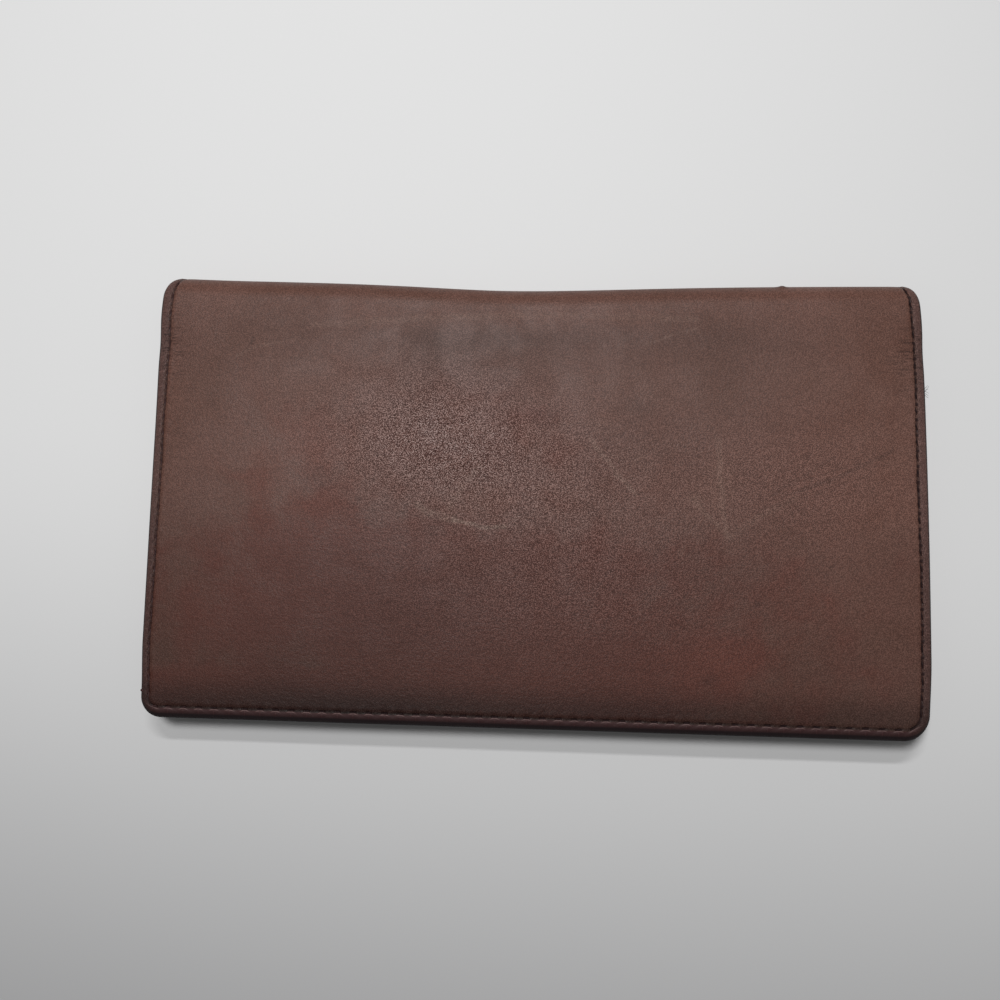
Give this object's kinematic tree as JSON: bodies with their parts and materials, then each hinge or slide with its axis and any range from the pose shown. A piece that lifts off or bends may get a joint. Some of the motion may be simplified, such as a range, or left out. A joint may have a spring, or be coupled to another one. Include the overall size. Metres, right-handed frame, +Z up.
{
  "type": "long bifold wallet",
  "caption": "Long bifold leather wallet that folds along its long side, with note pockets and card slots inside both covers.",
  "frame": {"origin": "centre of the closed wallet's outline, on the surface that its back cover lies on", "axes": "+X along the fold, +Y from the free edges to the fold, +Z up through the closed wallet, from the back cover to the front cover"},
  "size_m": [0.185, 0.1076, 0.0115],
  "materials": {
    "cover_leather": "waxed pull-up leather, satin",
    "pocket_leather": "smooth leather, satin",
    "lining_cloth": "fine twill cloth, matte"
  },
  "bodies": {
    "root": {"back_cover": "cover_leather", "back_lining": "lining_cloth", "back_note_pocket": "pocket_leather", "back_card_slot_left_1": "pocket_leather", "back_card_slot_left_2": "pocket_leather", "back_card_slot_left_3": "pocket_leather", "back_card_slot_left_4": "pocket_leather", "back_card_slot_right_1": "pocket_leather", "back_card_slot_right_2": "pocket_leather", "back_card_slot_right_3": "pocket_leather", "back_card_slot_right_4": "pocket_leather"},
    "spine_lower": {"spine_leather_lower": "cover_leather", "spine_lining_lower": "lining_cloth"},
    "spine_middle": {"spine_leather_middle": "cover_leather", "spine_lining_middle": "lining_cloth"},
    "spine_upper": {"spine_leather_upper": "cover_leather", "spine_lining_upper": "lining_cloth"},
    "front_half": {"front_cover": "cover_leather", "front_lining": "lining_cloth", "front_note_pocket": "pocket_leather", "front_card_slot_left_1": "pocket_leather", "front_card_slot_left_2": "pocket_leather", "front_card_slot_right_1": "pocket_leather", "front_card_slot_right_2": "pocket_leather"}
  },
  "joints": [
    {"name": "back_cover_bend", "type": "hinge", "parent": "root", "child": "spine_lower", "pos_m": [0, 0.048, 0], "axis": [-1, 0, 0], "range_deg": [0, 30]},
    {"name": "lower_spine_bend", "type": "hinge", "parent": "spine_lower", "child": "spine_middle", "pos_m": [0, 0.05298, 0.00287], "axis": [-1, 0, 0], "range_deg": [0, 60]},
    {"name": "upper_spine_bend", "type": "hinge", "parent": "spine_middle", "child": "spine_upper", "pos_m": [0, 0.05298, 0.00863], "axis": [-1, 0, 0], "range_deg": [0, 60]},
    {"name": "front_cover_bend", "type": "hinge", "parent": "spine_upper", "child": "front_half", "pos_m": [0, 0.048, 0.0115], "axis": [-1, 0, 0], "range_deg": [0, 30]}
  ]
}
